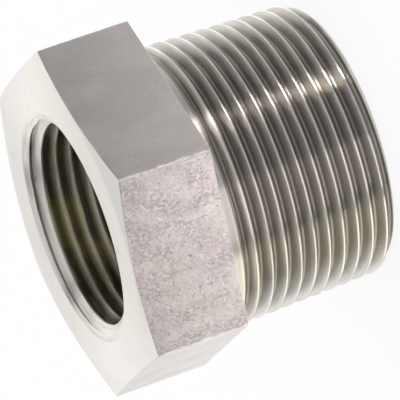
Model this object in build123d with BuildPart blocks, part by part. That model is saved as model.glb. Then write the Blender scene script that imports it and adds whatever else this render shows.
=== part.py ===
from build123d import *
import math
import os

os.makedirs("parts", exist_ok=True)

# ---- driving dimensions, mm and degrees ----

# The bushing stands on its small end, its axis along Z and a corner of the hexagon on +X
total_height = 42.0
collar_height = 15.0
shank_height = total_height - collar_height

# Hexagon collar: the bevel on its outer face starts at a circle and drops towards the corners
across_flats = 47.0
corner_radius = across_flats / math.sqrt(3)
face_circle_radius = 23.0
corner_drop = 0.9

# Form shared by both threads: 11 to the inch, 55 degree vee, blunted at root and crest
inch = 25.4
threads_per_inch = 11
pitch = inch / threads_per_inch
half_vee = math.radians(55 / 2)
depth_per_pitch = 0.640327
full_depth = depth_per_pitch * pitch
root_flat = pitch / 6

# Male taper thread R 1 1/4, right hand: its gauge plane, and its taper on the radius
gauge_diameter = 41.910
gauge_height = 12.7
taper = 1 / 32
entry_chamfer = 1.5

# The male groove passes +X this far above the small end, runs up the shank,
# then lifts out of the metal over its last turn and ends short of the collar
male_phase = -0.80
male_fade_turns = 1.1
male_stop_gap = 1.25

# Female parallel thread Rp 1, right hand, tapped down from the collar's face
female_root_diameter = 33.249
female_crest_diameter = 30.85
tapped_length = 21.5
tapped_bottom = total_height - tapped_length

# The female groove fades in, reaches its depth above the bottom of the tapping,
# and leaves through the countersink
female_lead = 1.8
female_fade_turns = 0.6
female_stop_gap = 0.07
countersink_diameter = 34.8
countersink_half = math.radians(120 / 2)

# Plain bore from the small end up to the tapping, with a drill's shoulder between them
bore_diameter = 29.8
shoulder_half = math.radians(118 / 2)

# How far a cutting shape stands clear of the metal
clear = 0.15


def male_radius(height):
    """Crest radius of the tapered shank at a height above the small end."""
    return gauge_diameter / 2 + (height - gauge_height) * taper


def winding(start_radius, start_height, turns, growth, start_angle):
    """Helix whose radius grows by the given amount over its turns."""
    cone = math.degrees(math.atan(growth / (turns * pitch)))
    path = Helix(
        pitch, turns * pitch, start_radius, center=(0, 0, start_height), cone_angle=cone
    )
    return path.rotate(Axis.Z, start_angle)


def wound_vee(path, reach):
    """Blunt vee carried along a helix: a positive reach opens it away from the axis."""
    half_root = root_flat / 2
    half_mouth = half_root + abs(reach) * math.tan(half_vee)
    origin = path @ 0
    section = Plane(origin=origin, x_dir=(origin.X, origin.Y, 0), z_dir=path % 0)
    with BuildPart() as cutter:
        with BuildSketch(section):
            Polygon(
                (0, -half_root),
                (reach, -half_mouth),
                (reach, half_mouth),
                (0, half_root),
                align=None,
            )
        sweep(path=path, is_frenet=True)
    return cutter.part


# Male groove: a tapered run, then the turn that lifts out of the metal
male_reach = full_depth + clear
male_fade_height = shank_height - male_stop_gap - male_fade_turns * pitch
male_turns = (male_fade_height - male_phase) / pitch
male_groove = wound_vee(
    winding(
        male_radius(male_phase) - full_depth,
        male_phase,
        male_turns,
        (male_fade_height - male_phase) * taper,
        0,
    ),
    male_reach,
)
male_fade = wound_vee(
    winding(
        male_radius(male_fade_height) - full_depth,
        male_fade_height,
        male_fade_turns,
        full_depth * male_fade_turns,
        male_turns * 360,
    ),
    male_reach,
)

# Female groove: a parallel run out of the mouth, and its fade at the bottom of the tapping
female_root_radius = female_root_diameter / 2
female_crest_radius = female_crest_diameter / 2
female_reach = female_root_radius - female_crest_radius + clear
female_start = tapped_bottom + female_lead
female_turns = (total_height - female_stop_gap - female_start) / pitch
female_groove = wound_vee(
    winding(female_root_radius, female_start, female_turns, 0, 0), -female_reach
)
female_fade = wound_vee(
    winding(
        female_root_radius - female_reach,
        female_start - female_fade_turns * pitch,
        female_fade_turns,
        female_reach,
        -female_fade_turns * 360,
    ),
    -female_reach,
)

with BuildPart() as bushing:
    # Turned blank: tapered shank with its chamfered small end
    with BuildSketch(Plane.XZ):
        with BuildLine():
            Polyline(
                (0, 0),
                (male_radius(0) - entry_chamfer, 0),
                (male_radius(entry_chamfer), entry_chamfer),
                (male_radius(shank_height), shank_height),
                (0, shank_height),
                close=True,
            )
        make_face()
    revolve(axis=Axis.Z)

    # Hexagon collar
    with BuildSketch(Plane.XY.offset(shank_height)):
        RegularPolygon(across_flats / 2, 6, major_radius=False)
    extrude(amount=collar_height)

    # Bevel that trims the six outer corners
    bevel_slope = corner_drop / (corner_radius - face_circle_radius)
    with BuildSketch(Plane.XZ):
        with BuildLine():
            Polyline(
                (face_circle_radius, total_height),
                (corner_radius + clear, total_height - corner_drop - clear * bevel_slope),
                (corner_radius + clear, total_height + clear),
                (face_circle_radius, total_height + clear),
                close=True,
            )
        make_face()
    revolve(axis=Axis.Z, mode=Mode.SUBTRACT)

    # Bore: plain at the small end, tapping size above it, countersunk at the mouth
    bore_radius = bore_diameter / 2
    countersink_radius = countersink_diameter / 2
    shoulder_height = (female_crest_radius - bore_radius) / math.tan(shoulder_half)
    mouth_depth = (countersink_radius - female_crest_radius) / math.tan(countersink_half)
    with BuildSketch(Plane.XZ):
        with BuildLine():
            Polyline(
                (0, 0),
                (bore_radius, 0),
                (bore_radius, tapped_bottom - shoulder_height),
                (female_crest_radius, tapped_bottom),
                (female_crest_radius, total_height - mouth_depth),
                (countersink_radius, total_height),
                (0, total_height),
                close=True,
            )
        make_face()
    revolve(axis=Axis.Z, mode=Mode.SUBTRACT)

    # Both threads
    for vee in (male_groove, male_fade, female_groove, female_fade):
        add(vee, mode=Mode.SUBTRACT)

bushing.part.label = "bushing"
export_step(bushing.part, "parts/bushing.step")
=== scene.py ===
import math

import bpy
import bmesh
from mathutils import Matrix, Vector


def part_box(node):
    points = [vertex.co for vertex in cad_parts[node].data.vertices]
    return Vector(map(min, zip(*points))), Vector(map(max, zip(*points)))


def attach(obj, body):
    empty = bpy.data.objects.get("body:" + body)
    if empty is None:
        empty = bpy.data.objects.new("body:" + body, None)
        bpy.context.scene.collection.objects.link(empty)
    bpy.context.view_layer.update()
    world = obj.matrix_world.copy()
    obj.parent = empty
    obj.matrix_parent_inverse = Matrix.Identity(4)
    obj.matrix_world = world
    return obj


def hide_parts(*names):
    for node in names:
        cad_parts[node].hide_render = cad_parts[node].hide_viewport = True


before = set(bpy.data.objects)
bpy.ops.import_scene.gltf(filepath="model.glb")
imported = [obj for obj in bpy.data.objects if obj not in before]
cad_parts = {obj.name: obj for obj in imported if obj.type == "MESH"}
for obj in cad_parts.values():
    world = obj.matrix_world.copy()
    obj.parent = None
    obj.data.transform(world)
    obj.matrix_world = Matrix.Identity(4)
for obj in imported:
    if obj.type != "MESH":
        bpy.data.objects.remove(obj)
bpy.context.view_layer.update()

low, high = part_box("bushing")

# ---------------------------------------------------------------------------
# The bushing: one piece of stainless steel, turned from bar. The shank carries
# a tapered outer pipe thread, the hexagon collar is bored and tapped, and the
# tapping is met from below by a plain bore. Sizes are in millimetres.
# ---------------------------------------------------------------------------

mm = 0.001
total_height = (high[2] - low[2]) / mm
collar_base = 27.0
half_flats = (high[1] - low[1]) / mm / 2

# Both threads: 11 to the inch, 55 degree vee, blunted, corners just rounded
pitch = 25.4 / 11
vee_half = math.radians(27.5)
vee_depth = 0.640327 * pitch
vee_round = 0.137329 * pitch
root_flat = pitch / 6


def vee(off):
    """Height above a groove's rounded root, at a distance off its centre line."""
    off = abs(off)
    flank = vee_round * math.cos(vee_half)
    if off < flank:
        return vee_round - math.sqrt(vee_round ** 2 - off ** 2)
    return vee_round * (1 - math.sin(vee_half)) + (off - flank) / math.tan(vee_half)


# One ring of the mesh: every two degrees, and closer over the six rounded corners
sixth_turn = math.radians(60)
half_sixth = math.radians(30)
corner_round = 0.3
corner_radius = half_flats / math.cos(half_sixth)
corner_centre = corner_radius - corner_round / math.sin(sixth_turn)
corner_span = math.atan(
    corner_round * 0.5 / (corner_centre + corner_round * math.cos(half_sixth))
)
around = []
for sixth in range(6):
    for step in range(30):
        around.append(math.radians(sixth * 60 + step * 2))
    for share in (-1, -0.4, 0.4, 1):
        around.append(math.radians(sixth * 60) + share * corner_span)
around = sorted(angle % math.tau for angle in around)


def hexagon_radius(angle):
    """Distance from the axis to the collar's side, over its rounded corners."""
    off = (angle + half_sixth) % sixth_turn - half_sixth
    if abs(off) < corner_span:
        inside = corner_round ** 2 - (corner_centre * math.sin(off)) ** 2
        return corner_centre * math.cos(off) + math.sqrt(inside)
    return half_flats / math.cos(half_sixth - abs(off))


def blend_low(a, b, reach):
    """The lower of two heights, with the corner between them rounded."""
    near = max(reach - abs(a - b), 0) / reach
    return min(a, b) - near * near * reach / 4


def blend_high(a, b, reach):
    """The higher of two heights, with the corner between them rounded."""
    return -blend_low(-a, -b, reach)


# Shank: taper 1 in 16, its groove lifting out of the metal over the last turn
gauge_radius = 41.910 / 2
gauge_height = 12.7
taper = 1 / 32
entry_chamfer = 1.5
male_phase = -0.95
male_fade_turns = 1.1
male_stop_gap = 1.25
male_fade_height = collar_base - male_stop_gap - male_fade_turns * pitch
male_root_blend = 0.10
male_crest_blend = 0.12


def shank_blank(z):
    """Crest radius of the tapered shank at a height."""
    return gauge_radius + (z - gauge_height) * taper


def shank_radius(z, angle):
    """Outer thread's surface at a height and an angle round the axis."""
    turn = angle / math.tau
    surface = shank_blank(z)
    nearest = round((z - male_phase) / pitch - turn)
    for count in (nearest - 1, nearest, nearest + 1):
        centre = male_phase + (count + turn) * pitch
        lift = max(0.0, (centre - male_fade_height) / pitch) * vee_depth
        root = shank_blank(centre) - vee_depth + lift
        flank = (abs(z - centre) - root_flat / 2) / math.tan(vee_half)
        groove = root + blend_high(0, flank, male_root_blend)
        surface = blend_low(surface, groove, male_crest_blend)
    chamfer = shank_blank(entry_chamfer) - entry_chamfer + z
    return blend_low(surface, chamfer, male_crest_blend)


# Tapping: parallel thread, countersunk at the mouth, fading out at its bottom
tapped_root = 33.249 / 2
tapped_crest = 30.291 / 2
tapped_bottom = 20.5
tapped_phase = 22.02
tapped_fade_turns = 0.6
tapped_fade_clear = 0.15
tapped_crest_blend = 0.14
mouth_radius = 17.4
mouth_slope = math.tan(math.radians(60))
mouth_blend = 0.04


def tapping_radius(z, angle):
    """Inner thread's surface at a height and an angle round the axis."""
    turn = angle / math.tau
    surface = tapped_crest
    nearest = round((z - tapped_phase) / pitch - turn)
    for count in (nearest - 1, nearest, nearest + 1):
        centre = tapped_phase + (count + turn) * pitch
        if centre < tapped_phase - tapped_fade_turns * pitch:
            continue
        fade = max(0.0, (tapped_phase - centre) / pitch / tapped_fade_turns)
        root = tapped_root - fade * (tapped_root - tapped_crest + tapped_fade_clear)
        surface = blend_high(surface, root - vee(z - centre), tapped_crest_blend)
    mouth = mouth_radius - (total_height - z) * mouth_slope
    return blend_high(surface, mouth, mouth_blend)


# Heights of the mesh rows that run along each thread, measured from a groove's centre
male_rows = (0.13, 0.17, 0.20, 0.24, 0.40, 0.70, 0.91, 0.95, 0.99, 1.03)
tapped_rows = (0.12, 0.22, 0.32, 0.60, 0.90, 0.95, 1.01)


def winding_rows(offsets, phase, bottom, top, fine_from, split):
    """Heights at angle zero of rows that wind with a thread, closer above fine_from."""
    one_pitch = sorted(
        [-offset for offset in offsets] + [0.0] + list(offsets) + [pitch / 2]
    )
    first = math.floor((bottom - phase) / pitch) - 2
    last = math.ceil((top - phase) / pitch) + 1
    coarse = [
        phase + count * pitch + offset
        for count in range(first, last)
        for offset in one_pitch
    ]
    rows = []
    for start, end in zip(coarse, coarse[1:]):
        parts = split if start > fine_from else 1
        rows.extend(start + (end - start) * part / parts for part in range(parts))
    return rows


mesh = bmesh.new()


def vertex(radius, angle, height):
    """Vertex of the mesh from its radius, angle and height."""
    return mesh.verts.new(
        (radius * math.cos(angle) * mm, radius * math.sin(angle) * mm, height * mm)
    )


def ring(points):
    """One closed row of vertices from (radius, height) pairs at the ring's angles."""
    return [vertex(r, a, z) for (r, z), a in zip(points, around)]


def face(loop, slot, inward=False):
    """Smooth face over a loop of vertices, repeated ones left out."""
    corners = []
    for corner in loop:
        if corner not in corners:
            corners.append(corner)
    if len(corners) > 2:
        if inward:
            corners.reverse()
        made = mesh.faces.new(corners)
        made.material_index = slot
        made.smooth = True


def skin(lower, upper, slot):
    """Faces between two rows of the ring."""
    count = len(around)
    for i in range(count):
        j = (i + 1) % count
        face((lower[i], lower[j], upper[j], upper[i]), slot)


def carry(row, points, slot):
    """Skin from a row to a new ring, which is returned."""
    beyond = ring(points)
    skin(row, beyond, slot)
    return beyond


# A thread's winding rows stop at its flat rims, and join them where they come this close
rim_gap = 0.004


def wound_skin(surface, rows, bottom, top, slot, inward):
    """Thread surface between two flat rims; returns the bottom and the top rim."""
    bottom_rim = ring([(surface(bottom, a), bottom) for a in around])
    top_rim = ring([(surface(top, a), top) for a in around])
    grid = []
    for start in rows:
        line = []
        for i, a in enumerate(around):
            z = start + a / math.tau * pitch
            if z <= bottom + rim_gap:
                line.append(bottom_rim[i])
            elif z >= top - rim_gap:
                line.append(top_rim[i])
            else:
                line.append(vertex(surface(z, a), a, z))
        grid.append(line)

    place = {round(start, 5): row for row, start in enumerate(rows)}
    for row in range(len(grid) - 1):
        for i in range(len(around) - 1):
            loop = (grid[row][i], grid[row][i + 1], grid[row + 1][i + 1], grid[row + 1][i])
            face(loop, slot, inward)
        # Last strip of the turn: each row meets the one that starts a pitch higher
        begin = place.get(round(rows[row] + pitch, 5))
        end = place.get(round(rows[row + 1] + pitch, 5))
        if begin is not None and end is not None:
            beyond = [grid[j][0] for j in range(begin, end + 1)]
            face([grid[row][-1]] + beyond + [grid[row + 1][-1]], slot, inward)
    return bottom_rim, top_rim


FACE, FLAT, THREAD, BORE = range(4)

shank_low, shank_high = wound_skin(
    shank_radius,
    winding_rows(male_rows, male_phase, 0, collar_base, total_height, 1),
    0,
    collar_base,
    THREAD,
    False,
)

# Rows are three times as close where the tapping breaks out through the countersink,
# and stop at the mouth's broken edge
mouth_edge = 0.04
tapping_top = total_height - mouth_edge
breakout = 38.4
tapping_low, tapping_high = wound_skin(
    tapping_radius,
    winding_rows(tapped_rows, tapped_phase, tapped_bottom, tapping_top, breakout, 3),
    tapped_bottom,
    tapping_top,
    BORE,
    True,
)

# Collar, from the shank's shoulder round to the mouth: narrow broken edges between
# its faces, and a bevel that drops from a circle towards the corners
edge = 0.06
face_circle = 23.0
corner_drop = 0.9
bevel_slope = corner_drop / (corner_radius - face_circle)
bevel_soft = 0.15
mouth_rim = 0.10


def bevel_height(radius):
    """Height of the collar's outer face at a radius."""
    return total_height - max(0.0, radius - face_circle) * bevel_slope


def side_height(radius, share):
    """Height on the collar's side, at a share of the way up between its edges."""
    return collar_base + edge + share * (bevel_height(radius) - collar_base - 2 * edge)


side = [hexagon_radius(a) for a in around]
row = carry(shank_high, [(r - edge, collar_base) for r in side], FACE)
row = carry(row, [(r, collar_base + edge) for r in side], FLAT)
for share in (0.25, 0.5, 0.75):
    row = carry(row, [(r, side_height(r, share)) for r in side], FLAT)
row = carry(row, [(r, bevel_height(r) - edge) for r in side], FLAT)
row = carry(row, [(r - edge, bevel_height(r - edge)) for r in side], FLAT)
for radius in (
    face_circle + bevel_soft,
    face_circle - bevel_soft,
    21.5,
    20.0,
    18.6,
    mouth_radius + mouth_rim,
):
    row = carry(row, [(radius, bevel_height(radius))] * len(around), FACE)
skin(row, tapping_high, FACE)

# Plain bore, the drill's shoulder above it and the small end's face
bore_radius = 14.9
bore_edge = 0.25
shoulder = (tapped_crest - bore_radius) / math.tan(math.radians(59))
row = tapping_low
for height in (tapped_bottom - shoulder, 14.0, 7.0, bore_edge):
    row = carry(row, [(bore_radius, height)] * len(around), BORE)
row = carry(row, [(bore_radius + bore_edge, 0)] * len(around), BORE)
skin(row, shank_low, FACE)

bmesh.ops.remove_doubles(mesh, verts=mesh.verts, dist=0.000002)
bmesh.ops.dissolve_degenerate(mesh, edges=mesh.edges, dist=0.000001)
bmesh.ops.recalc_face_normals(mesh, faces=mesh.faces)
skin_mesh = bpy.data.meshes.new("bushing_skin")
mesh.to_mesh(skin_mesh)
mesh.free()
skin_mesh.set_sharp_from_angle(angle=math.radians(38))
bushing = bpy.data.objects.new("bushing_skin", skin_mesh)
bpy.context.scene.collection.objects.link(bushing)
shading = bushing.modifiers.new("shading", "WEIGHTED_NORMAL")
shading.keep_sharp = True
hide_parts("bushing")
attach(bushing, "root")


def add_node(tree, kind, values=None, links=None, **settings):
    """One shader node, with its plain values and its incoming links."""
    node = tree.nodes.new(kind)
    for setting, value in settings.items():
        setattr(node, setting, value)
    for key, value in (values or {}).items():
        node.inputs[key].default_value = value
    for key, source in (links or {}).items():
        tree.links.new(source, node.inputs[key])
    return node


def maths(tree, operation, first, second=0.0):
    """Result of one sum on numbers or outputs."""
    values, links = {}, {}
    for key, part in enumerate((first, second)):
        if isinstance(part, (int, float)):
            values[key] = part
        else:
            links[key] = part
    return add_node(tree, "ShaderNodeMath", values, links, operation=operation).outputs[0]


def spread(tree, value, low, high, weak, strong, curve="LINEAR"):
    """Factor that goes from weak to strong while a value goes from low to high."""
    return add_node(
        tree,
        "ShaderNodeMapRange",
        {"From Min": low, "From Max": high, "To Min": weak, "To Max": strong},
        {"Value": value},
        interpolation_type=curve,
    ).outputs["Result"]


def clouds(tree, place, stretch, detail, low, high, weak, strong):
    """Noise stretched along the axes, per metre, as a factor from weak to strong."""
    scaled = add_node(
        tree, "ShaderNodeMapping", {"Scale": stretch}, {"Vector": place}
    ).outputs["Vector"]
    noise = add_node(
        tree, "ShaderNodeTexNoise", {"Scale": 1.0, "Detail": detail}, {"Vector": scaled}
    ).outputs["Fac"]
    return spread(tree, noise, low, high, weak, strong, "SMOOTHSTEP")


def tinted(tree, factor, under, over):
    """Colour between two tints or colour outputs, by a factor."""
    values, links = {}, {0: factor}
    for key, tint in ((6, under), (7, over)):
        if isinstance(tint, tuple):
            values[key] = (*tint, 1)
        else:
            links[key] = tint
    return add_node(
        tree, "ShaderNodeMix", values, links, data_type="RGBA", blend_type="MIX"
    ).outputs[2]


def axes_of(tree, vector):
    """X, Y and Z of a vector output."""
    return add_node(tree, "ShaderNodeSeparateXYZ", {}, {"Vector": vector}).outputs


def across_groove(tree, axes, phase):
    """Place across the winding groove: 0.5 at its root, 0 and 1 on the crests."""
    turn = maths(tree, "DIVIDE", maths(tree, "ARCTAN2", axes["Y"], axes["X"]), math.tau)
    rise = maths(tree, "SUBTRACT", axes["Z"], (phase - pitch / 2) * mm)
    rise = maths(tree, "DIVIDE", rise, pitch * mm)
    return maths(tree, "FRACT", maths(tree, "SUBTRACT", rise, turn))


def painted_groove_shading(tree, across, stops):
    """Tints laid across the groove, from the crest below it to the crest above it: painted
    highlight and painted shade.
    """
    ramp = add_node(tree, "ShaderNodeValToRGB", {}, {"Fac": across})
    ends = ramp.color_ramp.elements
    for end, (position, tint) in zip(ends, (stops[0], stops[-1])):
        end.position = position
        end.color = (*tint, 1)
    for position, tint in stops[1:-1]:
        ramp.color_ramp.elements.new(position).color = (*tint, 1)
    return ramp.outputs["Color"]


def scratch(tree, place, start, end, width):
    """Factor that is 1 on a straight mark between two points, given in millimetres."""
    reach = Vector(end) - Vector(start)
    heading = tuple(reach.normalized())
    off = add_node(
        tree,
        "ShaderNodeVectorMath",
        {1: tuple(Vector(start) * mm)},
        {0: place},
        operation="SUBTRACT",
    ).outputs["Vector"]
    along = add_node(
        tree, "ShaderNodeVectorMath", {1: heading}, {0: off}, operation="DOT_PRODUCT"
    ).outputs["Value"]
    along = add_node(
        tree, "ShaderNodeClamp", {"Min": 0.0, "Max": reach.length * mm}, {"Value": along}
    ).outputs["Result"]
    nearest = add_node(
        tree, "ShaderNodeVectorMath", {0: heading}, {"Scale": along}, operation="SCALE"
    ).outputs["Vector"]
    gap = add_node(
        tree, "ShaderNodeVectorMath", {}, {0: off, 1: nearest}, operation="DISTANCE"
    ).outputs["Value"]
    return spread(tree, gap, width * mm * 0.5, width * mm, 1.0, 0.0)


def relief(tree, shader, height, strength, depth):
    """Fine relief of the skin, from a height between 0 and 1 and a depth in millimetres."""
    bump = add_node(
        tree,
        "ShaderNodeBump",
        {"Strength": strength, "Distance": depth * mm},
        {"Height": height},
    )
    tree.links.new(bump.outputs["Normal"], shader.inputs["Normal"])


def steel(name, tint, roughness, grain):
    """Bare steel; grain is how far its polish lines, which run round the axis, smear."""
    material = bpy.data.materials.new(name)
    material.use_nodes = True
    skin_mesh.materials.append(material)
    tree = material.node_tree
    shader = tree.nodes["Principled BSDF"]
    shader.inputs["Base Color"].default_value = (*tint, 1)
    shader.inputs["Metallic"].default_value = 1.0
    shader.inputs["Roughness"].default_value = roughness
    if grain:
        shader.inputs["Anisotropic"].default_value = grain
        shader.inputs["Anisotropic Rotation"].default_value = 0.25
        turning = add_node(tree, "ShaderNodeTangent", direction_type="RADIAL", axis="Z")
        tree.links.new(turning.outputs["Tangent"], shader.inputs["Tangent"])
    place = add_node(tree, "ShaderNodeTexCoord").outputs["Object"]
    return tree, shader, place


# Turned face: fine rings from the lathe, faint grey and bluish clouds, brown stains
tree, shader, place = steel("turned_face", (0.78, 0.76, 0.73), 0.30, 0.8)
cloud = clouds(tree, place, (90, 90, 90), 3, 0.42, 0.72, 0, 0.6)
stain = clouds(tree, place, (260, 260, 260), 4, 0.60, 0.74, 0, 0.35)
tone = tinted(tree, cloud, (0.79, 0.765, 0.735), (0.74, 0.755, 0.765))
tone = tinted(tree, stain, tone, (0.60, 0.56, 0.50))
tree.links.new(tone, shader.inputs["Base Color"])
axes = axes_of(tree, place)
x_squared = maths(tree, "POWER", axes["X"], 2.0)
y_squared = maths(tree, "POWER", axes["Y"], 2.0)
from_axis = maths(tree, "SQRT", maths(tree, "ADD", x_squared, y_squared))
rings = add_node(
    tree,
    "ShaderNodeTexNoise",
    {"Scale": 5200.0, "Detail": 2.0},
    {"W": from_axis},
    noise_dimensions="1D",
)
relief(tree, shader, rings.outputs[0], 0.25, 0.02)

# Drawn flats: mottled pale skin, dark pits and faint bands. The four sides that
# lean towards X are smoother, and the corners between the sides are lighter and glossier,
# in patches
tree, shader, place = steel("drawn_flat", (0.78, 0.75, 0.73), 0.38, 0.0)
facing = axes_of(tree, add_node(tree, "ShaderNodeTexCoord").outputs["Normal"])["X"]
rough_side = spread(tree, maths(tree, "ABSOLUTE", facing), 0.3, 0.8, 1.0, 0.22)
mottle = clouds(tree, place, (2300, 2300, 1500), 6, 0.43, 0.62, 1, 0)
mottle = maths(tree, "MULTIPLY", mottle, rough_side)
patches = clouds(tree, place, (260, 260, 160), 4, 0.40, 0.66, 0.15, 1)
mottle = maths(tree, "MULTIPLY", mottle, patches)
bands = clouds(tree, place, (130, 130, 620), 4, 0.54, 0.70, 0, 0.35)
bands = maths(tree, "MULTIPLY", bands, rough_side)
pits = clouds(tree, place, (2400, 2400, 1900), 2, 0.61, 0.70, 0, 0.7)
pits = maths(tree, "MULTIPLY", pits, rough_side)
cream = clouds(tree, place, (110, 110, 110), 2, 0.60, 0.72, 0, 0.5)
cloud = clouds(tree, place, (200, 200, 120), 3, 0.35, 0.65, 0, 1)
tone = tinted(tree, cloud, (0.735, 0.70, 0.69), (0.80, 0.765, 0.755))
tone = tinted(tree, cream, tone, (0.80, 0.76, 0.67))
tone = tinted(tree, mottle, tone, (0.545, 0.50, 0.51))
tone = tinted(tree, bands, tone, (0.58, 0.54, 0.53))
tone = tinted(tree, pits, tone, (0.42, 0.385, 0.395))

# Lighter corners: how far round a point lies from the nearest one, in sixths of a turn
axes = axes_of(tree, place)
turn = maths(tree, "ARCTAN2", axes["Y"], axes["X"])
sixths = maths(tree, "DIVIDE", turn, sixth_turn)
off_corner = maths(tree, "SUBTRACT", sixths, maths(tree, "ROUND", sixths))
off_corner = maths(tree, "ABSOLUTE", off_corner)
bright_corner = spread(tree, off_corner, 0.0045, 0.0105, 0.75, 0.0)
corner_patches = clouds(tree, place, (900, 900, 600), 3, 0.38, 0.62, 0.0, 1.0)
bright_corner = maths(tree, "MULTIPLY", bright_corner, corner_patches)
tone = tinted(tree, bright_corner, tone, (0.98, 0.96, 0.95))

# Three bright scratches on the side that faces -Y, and two nicks on its corner
for start, end, width in (
    ((8.99, -23.5, 38.87), (7.73, -23.5, 38.05), 0.10),
    ((7.9, -23.5, 36.6), (7.5, -23.5, 36.35), 0.09),
    ((6.4, -23.5, 36.9), (5.9, -23.5, 36.5), 0.07),
    ((13.3, -23.4, 36.2), (13.55, -23.1, 36.35), 0.22),
    ((13.3, -23.4, 33.6), (13.55, -23.1, 33.8), 0.20),
):
    tone = tinted(tree, scratch(tree, place, start, end, width), tone, (0.99, 0.98, 0.97))
tree.links.new(tone, shader.inputs["Base Color"])
gloss = clouds(tree, place, (500, 500, 300), 4, 0.35, 0.70, 0.33, 0.46)
gloss = maths(tree, "SUBTRACT", gloss, maths(tree, "MULTIPLY", bright_corner, 0.12))
tree.links.new(gloss, shader.inputs["Roughness"])
dimples = clouds(tree, place, (2000, 2000, 1100), 4, 0.2, 0.8, 0, 1)
dimples = maths(tree, "MULTIPLY", dimples, rough_side)
dimples = maths(tree, "SUBTRACT", dimples, maths(tree, "MULTIPLY", pits, 1.2))
relief(tree, shader, dimples, 0.4, 0.04)

# Cut thread: crests painted near white as a painted highlight, and a tone that darkens
# towards the roots and most on the flank that faces the small end, partly a dark film and
# partly painted shade; a plain neck below the collar, and streaks round the axis
tree, shader, place = steel("cut_thread", (0.68, 0.66, 0.61), 0.34, 1.0)
axes = axes_of(tree, place)
# The near-white crest stops are a painted highlight, and the dark stops are painted shade,
# in part a film in the groove
tone = painted_groove_shading(
    tree,
    across_groove(tree, axes, male_phase),
    (
        (0.00, (0.99, 0.96, 0.92)),
        (0.06, (0.99, 0.96, 0.92)),
        (0.10, (0.84, 0.80, 0.76)),
        (0.28, (0.74, 0.70, 0.65)),
        (0.42, (0.56, 0.53, 0.475)),
        (0.50, (0.50, 0.475, 0.43)),
        (0.60, (0.28, 0.27, 0.26)),
        (0.86, (0.12, 0.115, 0.115)),
        (0.955, (0.12, 0.115, 0.115)),
        (1.00, (0.99, 0.96, 0.92)),
    ),
)
neck = spread(tree, axes["Z"], 24.6 * mm, 25.8 * mm, 0.0, 1.0)
tone = tinted(tree, neck, tone, (0.74, 0.73, 0.70))
streak = clouds(tree, place, (120, 120, 5200), 3, 0.35, 0.72, 0, 0.45)
tone = tinted(tree, streak, tone, (0.50, 0.475, 0.44))
tree.links.new(tone, shader.inputs["Base Color"])
tool_marks = clouds(tree, place, (60, 60, 9000), 2, 0.2, 0.8, 0, 1)
relief(tree, shader, tool_marks, 0.2, 0.02)

# Tapping and bore: the same painted highlight on the crests and painted shade in the
# groove, darker still and partly a film left in it. The countersink and the plain bore are
# plain steel, and the lit side of the first turn is brightened to that tint as a painted
# highlight
tree, shader, place = steel("bored_inside", (0.68, 0.65, 0.58), 0.34, 1.0)
axes = axes_of(tree, place)
across = across_groove(tree, axes, tapped_phase)
# The near-white crest stops are a painted highlight, and the dark stops are painted shade,
# in part a film in the groove
tone = painted_groove_shading(
    tree,
    across,
    (
        (0.00, (0.99, 0.97, 0.92)),
        (0.02, (0.99, 0.97, 0.92)),
        (0.06, (0.62, 0.59, 0.48)),
        (0.22, (0.56, 0.53, 0.41)),
        (0.42, (0.32, 0.31, 0.25)),
        (0.60, (0.22, 0.21, 0.18)),
        (0.88, (0.16, 0.155, 0.14)),
        (0.96, (0.20, 0.195, 0.18)),
        (1.00, (0.99, 0.97, 0.92)),
    ),
)
countersink = spread(tree, axes["Z"], 40.9 * mm, 41.2 * mm, 0.0, 1.0)
first_turn_highlight = spread(tree, axes["Z"], 38.6 * mm, 39.4 * mm, 0.0, 1.0)
# Painted highlight: the lit side of the first turn gets the pale plain-steel tint
lit_side = spread(tree, across, 0.40, 0.46, 1.0, 0.0)
first_turn_highlight = maths(tree, "MULTIPLY", first_turn_highlight, lit_side)
countersink_and_highlight = maths(tree, "MAXIMUM", countersink, first_turn_highlight)
plain_bore = spread(tree, axes["Z"], 20.5 * mm, 21.2 * mm, 1.0, 0.0)
plain_and_highlight = maths(tree, "MAXIMUM", countersink_and_highlight, plain_bore)
tone = tinted(tree, plain_and_highlight, tone, (0.88, 0.86, 0.82))
streak = clouds(tree, place, (150, 150, 4200), 3, 0.40, 0.72, 0, 0.5)
tone = tinted(tree, streak, tone, (0.42, 0.40, 0.33))

# A dull nick in the mouth's rim, and olive oil anywhere but there
nick = scratch(tree, place, (2.3, 16.5, 40.8), (3.6, 15.8, 40.1), 0.34)
tone = tinted(tree, nick, tone, (0.45, 0.52, 0.56))
oil = clouds(tree, place, (170, 170, 300), 3, 0.47, 0.62, 0, 0.6)
oil = maths(tree, "MULTIPLY", oil, maths(tree, "SUBTRACT", 1.0, countersink_and_highlight))
tone = tinted(tree, oil, tone, (0.62, 0.57, 0.32))
tree.links.new(tone, shader.inputs["Base Color"])

# ---------------------------------------------------------------------------
# Floor: a plain white sheet. Its own white is mixed in where the camera sees it,
# straight or in the steel, and its paint keeps a faint shadow of the bushing.
# ---------------------------------------------------------------------------
floor_mesh = bpy.data.meshes.new("floor")
floor_mesh.from_pydata(
    [(-3, -3, 0), (3, -3, 0), (3, 3, 0), (-3, 3, 0)], [], [(0, 1, 2, 3)]
)
floor = bpy.data.objects.new("floor", floor_mesh)
bpy.context.scene.collection.objects.link(floor)
floor_paint = bpy.data.materials.new("floor_paint")
floor_paint.use_nodes = True
floor_mesh.materials.append(floor_paint)
tree = floor_paint.node_tree
tree.nodes.clear()
paint = add_node(tree, "ShaderNodeBsdfDiffuse", {"Color": (0.96, 0.96, 0.96, 1)})
white = add_node(tree, "ShaderNodeEmission", {"Color": (1, 1, 1, 1)})
ray = add_node(tree, "ShaderNodeLightPath").outputs
seen = maths(tree, "MAXIMUM", ray["Is Glossy Ray"], ray["Is Transmission Ray"])
seen = maths(tree, "MAXIMUM", ray["Is Camera Ray"], seen)
share = spread(tree, seen, 0.0, 1.0, 0.15, 0.88)
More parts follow.
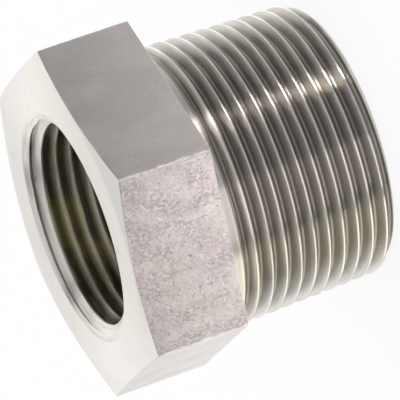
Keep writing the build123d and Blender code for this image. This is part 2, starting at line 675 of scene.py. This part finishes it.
sheet = add_node(
    tree,
    "ShaderNodeMixShader",
    {},
    {0: share, 1: paint.outputs["BSDF"], 2: white.outputs["Emission"]},
)
add_node(tree, "ShaderNodeOutputMaterial", {}, {"Surface": sheet.outputs["Shader"]})

# ---------------------------------------------------------------------------
# Light: a white room, and round the bushing the cards that the steel mirrors.
# Only the steel sees them: the camera and the floor don't, and they cast no shadow.
# ---------------------------------------------------------------------------
world = bpy.data.worlds.new("studio")
bpy.context.scene.world = world
world.use_nodes = True
world.node_tree.nodes["Background"].inputs["Color"].default_value = (1, 1, 1, 1)


def card(name, points, tint, strength):
    """Glowing or dark card from points that come in pairs, one on each long edge."""
    across = len(points) // 2
    shape = bpy.data.meshes.new(name)
    faces = [(2 * i, 2 * i + 2, 2 * i + 3, 2 * i + 1) for i in range(across - 1)]
    shape.from_pydata([(x * mm, y * mm, z * mm) for x, y, z in points], [], faces)
    glow = bpy.data.materials.new(name)
    glow.use_nodes = True
    glow.node_tree.nodes.clear()
    light = add_node(
        glow.node_tree, "ShaderNodeEmission", {"Color": (*tint, 1), "Strength": strength}
    ).outputs["Emission"]
    add_node(glow.node_tree, "ShaderNodeOutputMaterial", {}, {"Surface": light})
    shape.materials.append(glow)
    placed = bpy.data.objects.new(name, shape)
    bpy.context.scene.collection.objects.link(placed)
    placed.visible_camera = False
    placed.visible_diffuse = False
    placed.visible_shadow = False


def steps(angles, widest):
    """Angles in radians from the first to the last, in steps of the widest or less."""
    across = max(2, math.ceil((angles[1] - angles[0]) / widest))
    return [
        math.radians(angles[0] + (angles[1] - angles[0]) * i / across)
        for i in range(across + 1)
    ]


def swept_card(name, azimuths, start, end, tint, strength):
    """Card swept round the bushing from one (radius, height) to another."""
    points = [
        (radius * math.cos(azimuth), radius * math.sin(azimuth), height)
        for azimuth in steps(azimuths, 5)
        for radius, height in (start, end)
    ]
    card(name, points, tint, strength)


# Each low card lies just over the floor, under the rays that come in from the front
# and that both flanks of a groove send down: they turn by twice the vee's angle
front = math.radians(-68.67)
slope_in = math.radians(16.2)
vee_angle = math.radians(55)
shank_foot = 20.6


def low_card(name, angles, near, far, height, tint, strength):
    """Card for one band of angles round the shank, counted from the front."""
    points = []
    for angle in steps(angles, 3):
        out = (math.cos(front + angle), math.sin(front + angle))
        along = (-out[1], out[0])
        fall = math.hypot(math.cos(slope_in) * math.cos(angle), math.sin(slope_in))
        lean = math.atan2(-math.sin(slope_in), -math.cos(slope_in) * math.cos(angle))
        outward = fall * math.cos(lean + 2 * vee_angle)
        sideways = math.cos(slope_in) * math.sin(angle)
        length = math.hypot(outward, sideways)
        for reach in (near, far):
            x, y = (
                shank_foot * o + reach * (outward * o + sideways * s) / length
                for o, s in zip(out, along)
            )
            points.append((x, y, height))
    card(name, points, tint, strength)


# Dark curtains in front and at the sides, a lamp overhead and a glow behind
plain = (1, 1, 1)
swept_card("curtain_front", (-124, 15), (250, 0), (250, 260), plain, 0.02)
swept_card("curtain_left", (-185, -124), (255, 30), (255, 220), plain, 0.10)
swept_card("curtain_right", (15, 50), (260, 20), (260, 260), plain, 0.25)
swept_card("canopy_lamp", (-180, 180), (1, 270), (120, 270), plain, 1.0)
swept_card("canopy_rim", (-180, 180), (120, 270), (185, 270), plain, 0.30)
swept_card("backdrop_glow", (80, 150), (265, 100), (265, 300), (1, 0.98, 0.95), 1.1)

# Sheets on the floor: two for the collar's sides, the others for the thread
sheet_height = 0.4
for name, azimuths, near, tint, strength in (
    ("grey_right", (-25, 40), 95, plain, 0.45),
    ("rose_front", (-140, -85), 112, (1, 0.95, 0.95), 0.95),
):
    start, end = (near, sheet_height), (250, sheet_height)
    swept_card(name, azimuths, start, end, tint, strength)
for name, angles, tint, strength in (
    ("khaki_sheet", (-64, -29), (1.03, 1.0, 0.80), 1.8),
    ("dark_line", (-29, -24.5), (1, 0.97, 0.92), 0.20),
    ("rose_sheet", (-24.5, -4), (1, 0.93, 0.91), 1.6),
    ("dark_sheet", (-4, 35), (1, 0.965, 0.94), 0.66),
    ("warm_sheet", (35, 68), (1, 0.96, 0.92), 0.85),
    ("white_sheet", (68, 100), (1, 0.98, 0.96), 1.5),
):
    low_card(name, angles, 1.5, 90, sheet_height, tint, strength)

# Slit: the narrow warm strip that lights one row of spots along the thread
for name, near, far, strength in (("slit_near", 2.5, 32, 12.0), ("slit_far", 32, 62, 1.4)):
    low_card(name, (19.4, 23.4), near, far, 0.8, (1, 0.93, 0.86), strength)

# ---------------------------------------------------------------------------
# Camera: a long lens from in front and above, rolled so that the bushing lies on
# its side in the view, with its mouth to the left.
# ---------------------------------------------------------------------------
camera_data = bpy.data.cameras.new("camera")
camera_data.lens = 540
camera_data.sensor_width = 36
camera_data.clip_start = 0.01
camera_data.clip_end = 20
camera = bpy.data.objects.new("camera", camera_data)
bpy.context.scene.collection.objects.link(camera)
bpy.context.scene.camera = camera
eye = (0.30047, -0.76929, 0.28159)
look = Vector((-0.34971, 0.88798, -0.29943)).normalized()
right = look.cross(Vector((0.91290, 0.25781, -0.31646))).normalized()
up = right.cross(look)
turned = Matrix((right, up, -look)).transposed().to_4x4()
camera.matrix_world = Matrix.Translation(eye) @ turned

scene = bpy.context.scene
scene.view_settings.view_transform = "Standard"
